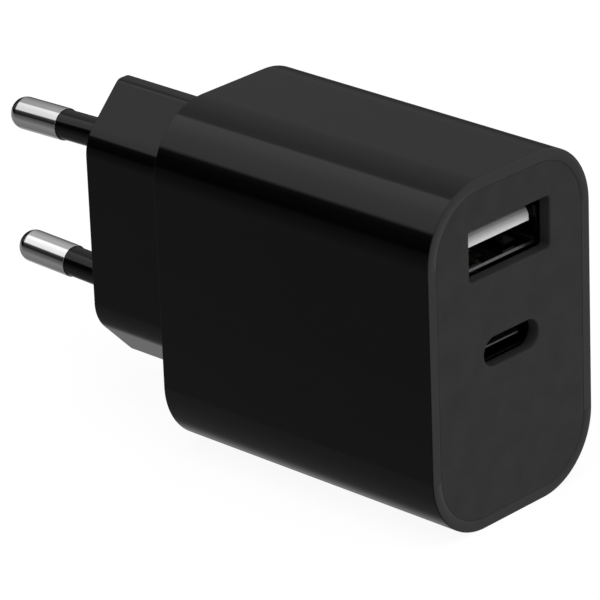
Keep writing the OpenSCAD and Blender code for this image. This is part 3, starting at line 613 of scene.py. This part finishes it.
def add_tongue(s, side):
    """Adds a tongue behind one long side, its hooks drawn into its outer face. Returns its root's ring."""
    out = side * (BODY_W / 2 - WALL - TONGUE_FIT)
    far = out - side * TONGUE_T
    tip = out + side * (HOOK_OUT + TONGUE_FIT)
    marks = [-TONGUE_Z]
    for z in (-HOOK_Z, HOOK_Z):
        marks += [z - HOOK_W / 2, z + HOOK_W / 2]
    marks.append(TONGUE_Z)
    steps = (PANEL_Y,) + tuple(PANEL_Y + y for y in HOOK_Y) + (PANEL_Y + TONGUE_L,)
    face = s.bm.faces.new

    def row(x, y, zs):
        return [s.bm.verts.new((x * MM, y * MM, z * MM)) for z in zs]

    grid = [row(out, y, marks) for y in steps]
    back = [row(far, y, marks) for y in (steps[0], steps[-1])]
    hooks = (1, 3)
    for i in range(len(steps) - 1):
        for k in range(len(marks) - 1):
            if not (i in (1, 2) and k in hooks):
                face((grid[i][k], grid[i][k + 1], grid[i + 1][k + 1], grid[i + 1][k]))
    for k in hooks:
        low, mid, high = ((grid[i][k], grid[i][k + 1]) for i in (1, 2, 3))
        front, ridge = (row(tip, steps[i], marks[k : k + 2]) for i in (1, 2))
        face((low[0], low[1], front[1], front[0]))
        face((front[0], front[1], ridge[1], ridge[0]))
        face((ridge[0], ridge[1], high[1], high[0]))
        for j in (0, 1):
            face((low[j], front[j], ridge[j], mid[j]))
            face((mid[j], ridge[j], high[j]))
    for k in range(len(marks) - 1):
        face((back[0][k], back[0][k + 1], back[1][k + 1], back[1][k]))
        face((grid[-1][k], grid[-1][k + 1], back[1][k + 1], back[1][k]))
    for k in (0, -1):
        face([line[k] for line in grid] + [back[1][k], back[0][k]])
    return grid[0] + back[0][::-1]


def make_panel():
    s = Solid()
    edge_out, edge_window = 0.02, 0.2

    def face(inset):
        return round_rect(BODY_W, BODY_H, BODY_R, RIM + SEAM + inset, steps=32)

    def window_a(inset):
        return round_rect(*WINDOW_A, WINDOW_A_R, inset, (0, WINDOW_A_Z))

    def window_c(inset):
        return stadium(*WINDOW_C, inset, (0, WINDOW_C_Z))

    # plate with its two windows
    rim = fillet(face, edge_out, 0.0, FRONT_Y, FRONT_Y + edge_out, 3, -1)
    edge_ring, back_ring = s.loft(rim + [(face(0.0), PANEL_Y)])
    front_holes, back_holes = [], []
    for window in (window_a, window_c):
        stations = fillet(window, -edge_window, 0.0, FRONT_Y, FRONT_Y + edge_window, 5, -1)
        mouth, behind = s.loft(stations + [(window(0.0), PANEL_Y)])
        front_holes.append(mouth)
        back_holes.append(behind)
    s.flat(edge_ring, *front_holes)
    roots = [add_tongue(s, side) for side in (-1, 1)]
    s.flat(back_ring, *back_holes, *roots)
    return s.piece("port_panel", "front_panel", material=M["panel_plastic"])


def lathe(s, side, profile, steps=64):
    """Turns a profile of (radius, distance along the pin) around a pin's axis.

    The profile starts and ends at radius 0, or closes on itself.
    """
    cos_t, sin_t = math.cos(PIN_TILT), math.sin(PIN_TILT)
    rings = []
    for r, d in profile:
        if r < 1e-6:
            centre = (0.0, d * cos_t, side * (PIN_PITCH / 2 - d * sin_t))
            rings.append([s.bm.verts.new([c * MM for c in centre])])
            continue
        ring = []
        for x, z in circle(r, steps=steps):
            # the ring's plane leans with the pin
            y = d * cos_t + side * z * sin_t
            up = side * (PIN_PITCH / 2 - d * sin_t) + z * cos_t
            ring.append(s.bm.verts.new((x * MM, y * MM, up * MM)))
        rings.append(ring)
    for a, b in zip(rings, rings[1:]):
        if len(a) == 1 or len(b) == 1:
            tip, ring = (a[0], b) if len(a) == 1 else (b[0], a)
            for i in range(steps):
                s.bm.faces.new((tip, ring[i], ring[(i + 1) % steps]))
        else:
            s.bridge(a, b)
    return rings


def round_profile(centre, r, start, end, steps=6):
    """An arc in a lathe profile; angles are from the axis direction outwards."""
    return [
        (
            centre[0] + r * math.sin(math.radians(start + (end - start) * i / steps)),
            centre[1] + r * math.cos(math.radians(start + (end - start) * i / steps)),
        )
        for i in range(steps + 1)
    ]


def make_pin(side, name):
    s = Solid()
    step = 0.02
    profile = [(0.0, PIN_TAIL), (CORE_R - 0.3, PIN_TAIL), (CORE_R, PIN_TAIL + 0.3)]
    profile += [(CORE_R, COLLAR[0]), (COLLAR_R, COLLAR[0]), (COLLAR_R, COLLAR[1]), (CORE_R, COLLAR[1])]
    profile += [(CORE_R, SLEEVE_L)]
    profile += round_profile((PIN_R - step, SLEEVE_L + step), step, 180, 90, 3)
    profile += round_profile((PIN_R - TIP_R, PIN_L - TIP_R), TIP_R, 90, 0, 14)
    profile += [(0.0, PIN_L)]
    lathe(s, side, profile)
    return s.piece(name, name, material=M["pin_metal"], sharp=50)


def make_sleeve(side, name):
    s = Solid()
    gap, lip_r, lip_l = 0.005, PIN_R - 0.015, 0.2
    bore, mouth = CORE_R + gap, SLEEVE_L - gap
    profile = [(bore, mouth), (bore, -PLUG_FACE_T), (SLEEVE_R, -PLUG_FACE_T)]
    # the end swells to meet the pin's bare part
    profile += [(SLEEVE_R, SLEEVE_L - lip_l), (lip_r, SLEEVE_L - lip_l / 4), (lip_r, mouth), (bore, mouth)]
    lathe(s, side, profile)
    return s.piece(name, name, material=M["sleeve_plastic"], sharp=50)


make_shell()
make_panel()
for side, end in ((1, "upper"), (-1, "lower")):
    make_pin(side, "pin_" + end).name = "plug_pin_" + end
    make_sleeve(side, "sleeve_" + end).name = "pin_sleeve_" + end

# ---------------------------------------------------------------- CAD nodes that stay

# Width of the rounding on a node's edges
EDGES = {
    "usb_a_insulator": 0.1,
    "usb_a_shell": 0.0,
    "usb_c_shell": 0.0,
    "usb_c_insulator": 0.0,
    "usb_c_ground_plate": 0.0,
}
EDGE_DEFAULT = 0.05


def finish_node(name, slot_name):
    """Gives a CAD node its material and rounds its edges a little."""
    obj = nodes[name]
    for slot in obj.material_slots:
        slot.material = M[slot_name]
    weld = obj.modifiers.new("weld", "WELD")
    weld.merge_threshold = 1e-6
    width = EDGES.get(name, EDGE_DEFAULT)
    if not width:
        return
    bevel = obj.modifiers.new("edges", "BEVEL")
    bevel.limit_method = "ANGLE"
    bevel.angle_limit = math.radians(40)
    bevel.width = width * MM
    bevel.segments = 2
    bevel.harden_normals = True


# Nodes with a finish of their own, told apart from the rest of their material slot
FINISHES = {"usb_c_shell": "plated_black"}

for part in frame["record"]["subparts"]:
    finish_node(part["node"], FINISHES.get(part["node"], part["material_slot"]))

# ---------------------------------------------------------------- floor, lights and studio

FLOOR_SIZE, FLOOR_PAPER, FLOOR_GLOW = 6.0, 0.08, 0.93


def make_floor():
    s = bmesh.new()
    z = cad_box[0].z
    half = FLOOR_SIZE / 2
    corners = ((-half, -half), (half, -half), (half, half), (-half, half))
    s.faces.new([s.verts.new((x, y, z)) for x, y in corners])
    mesh = bpy.data.meshes.new("floor")
    s.to_mesh(mesh)
    s.free()
    floor = bpy.data.objects.new("floor", mesh)
    bpy.context.scene.collection.objects.link(floor)
    mat = bpy.data.materials.new("floor_paper")
    mat.use_nodes = True
    tree = mat.node_tree
    tree.nodes.clear()
    new, link = tree.nodes.new, tree.links.new
    out, under = new("ShaderNodeOutputMaterial"), new("ShaderNodeMixShader")
    paper, glow, both = new("ShaderNodeBsdfDiffuse"), new("ShaderNodeEmission"), new("ShaderNodeAddShader")
    clear, side = new("ShaderNodeBsdfTransparent"), new("ShaderNodeNewGeometry")
    paper.inputs["Color"].default_value = (*grey(FLOOR_PAPER), 1)
    glow.inputs["Strength"].default_value = FLOOR_GLOW
    link(paper.outputs[0], both.inputs[0])
    link(glow.outputs[0], both.inputs[1])
    link(side.outputs["Backfacing"], under.inputs["Fac"])
    link(both.outputs[0], under.inputs[1])
    link(clear.outputs[0], under.inputs[2])
    link(under.outputs[0], out.inputs["Surface"])
    mesh.materials.append(mat)
    floor.visible_glossy = False


make_floor()


def area_light(name, at, size, watts):
    data = bpy.data.lights.new(name, "AREA")
    data.shape, data.size, data.size_y = "RECTANGLE", *size
    data.energy = watts
    light = bpy.data.objects.new(name, data)
    bpy.context.scene.collection.objects.link(light)
    light.location = at
    light.rotation_mode = "QUATERNION"
    light.rotation_quaternion = (-Vector(at)).to_track_quat("-Z", "Y")
    light.visible_glossy = False


area_light("overhead", (-0.3, -0.2, 1.6), (1.6, 1.6), 14)
area_light("front_fill", (0.5, -1.5, 0.2), (1.2, 0.6), 2)

# The studio around the object, as brightness against the angle about the pins' direction: 0 is the
# right, 90 overhead, 180 the left and 270 underneath. A long soft box hangs overhead and to the left.
STUDIO = [
    (-30, 0.09), (-18, 0.1), (-11, 0.06), (-1, 0.07), (8, 0.14), (22, 0.25), (45, 0.35), (60, 0.42),
    (80, 0.43), (88, 0.48), (92, 1.08), (107, 1.06), (120, 0.93), (146, 0.83), (151, 0.08), (160, 0.03),
    (177, 0.01), (183, 0.07), (200, 0.12), (212, 0.16), (216, 0.21), (250, 0.18), (272, 0.16), (280, 0.2),
    (288, 0.3), (303, 0.39), (315, 0.24), (329, 0.1),
]
# Directions are unit vectors: where along Y it darkens, to what, and up to where on Z it stays as it is
DARK_FROM, DARK_LEVEL, LOW_KEEPS = (0.69, 0.82), 0.04, (-0.12, 0.02)
# Where along Y the front's even glow takes over, its level, its rise with Z and with X, and its least
FRONT_FROM = (0.0625, -0.0625)
FRONT_GLOW, GLOW_RISE, GLOW_RIGHT, GLOW_LEAST = 0.68, 0.5, 0.4, 0.05


def make_world():
    world = bpy.data.worlds.new("studio")
    bpy.context.scene.world = world
    world.use_nodes = True
    tree = world.node_tree
    tree.nodes.clear()
    new, link = tree.nodes.new, tree.links.new

    def maths(operation, *values):
        n = new("ShaderNodeMath")
        n.operation = operation
        for i, v in enumerate(values):
            if isinstance(v, (int, float)):
                n.inputs[i].default_value = v
            else:
                link(v, n.inputs[i])
        return n.outputs[0]

    def fade(value, start, end, before, after):
        """Goes from before to after as the value goes from start to end."""
        n = new("ShaderNodeMapRange")
        for socket, v in (("From Min", start), ("From Max", end), ("To Min", before), ("To Max", after)):
            n.inputs[socket].default_value = v
        link(value, n.inputs["Value"])
        return n.outputs["Result"]

    coord, split = new("ShaderNodeTexCoord"), new("ShaderNodeSeparateXYZ")
    link(coord.outputs["Generated"], split.inputs[0])
    x, y, z = split.outputs

    # the brightness around the object, as a ramp over one turn that starts at the first angle
    start = STUDIO[0][0]
    around = new("ShaderNodeValToRGB")
    marks = around.color_ramp.elements
    while len(marks) < len(STUDIO):
        marks.new(0.5)
    for mark, (angle, level) in zip(marks, STUDIO):
        mark.position = (angle - start) / 360
        mark.color = (level, level, level, 1)
    turn = maths("DIVIDE", maths("ARCTAN2", z, x), 2 * math.pi)
    link(maths("FRACT", maths("ADD", turn, 1 - start / 360)), around.inputs["Fac"])

    # it darkens towards the pins' direction, except low down
    level = maths("MAXIMUM", fade(y, *DARK_FROM, 1.0, DARK_LEVEL), fade(z, *LOW_KEEPS, 1.0, 0.0))
    dimmed = new("ShaderNodeVectorMath")
    dimmed.operation = "SCALE"
    link(around.outputs["Color"], dimmed.inputs[0])
    link(level, dimmed.inputs["Scale"])

    # the side that the ports face glows evenly, a little more from above and from the right
    mix = new("ShaderNodeMix")
    mix.data_type = "RGBA"
    link(fade(y, *FRONT_FROM, 0.0, 1.0), mix.inputs["Factor"])
    link(dimmed.outputs[0], mix.inputs[6])
    tilt = maths("ADD", maths("MULTIPLY", z, GLOW_RISE), maths("MULTIPLY", x, GLOW_RIGHT))
    link(maths("MAXIMUM", maths("ADD", tilt, FRONT_GLOW), GLOW_LEAST), mix.inputs[7])
    background, out = new("ShaderNodeBackground"), new("ShaderNodeOutputWorld")
    link(mix.outputs[2], background.inputs["Color"])
    link(background.outputs[0], out.inputs["Surface"])


make_world()
bpy.context.scene.view_settings.view_transform = "Standard"
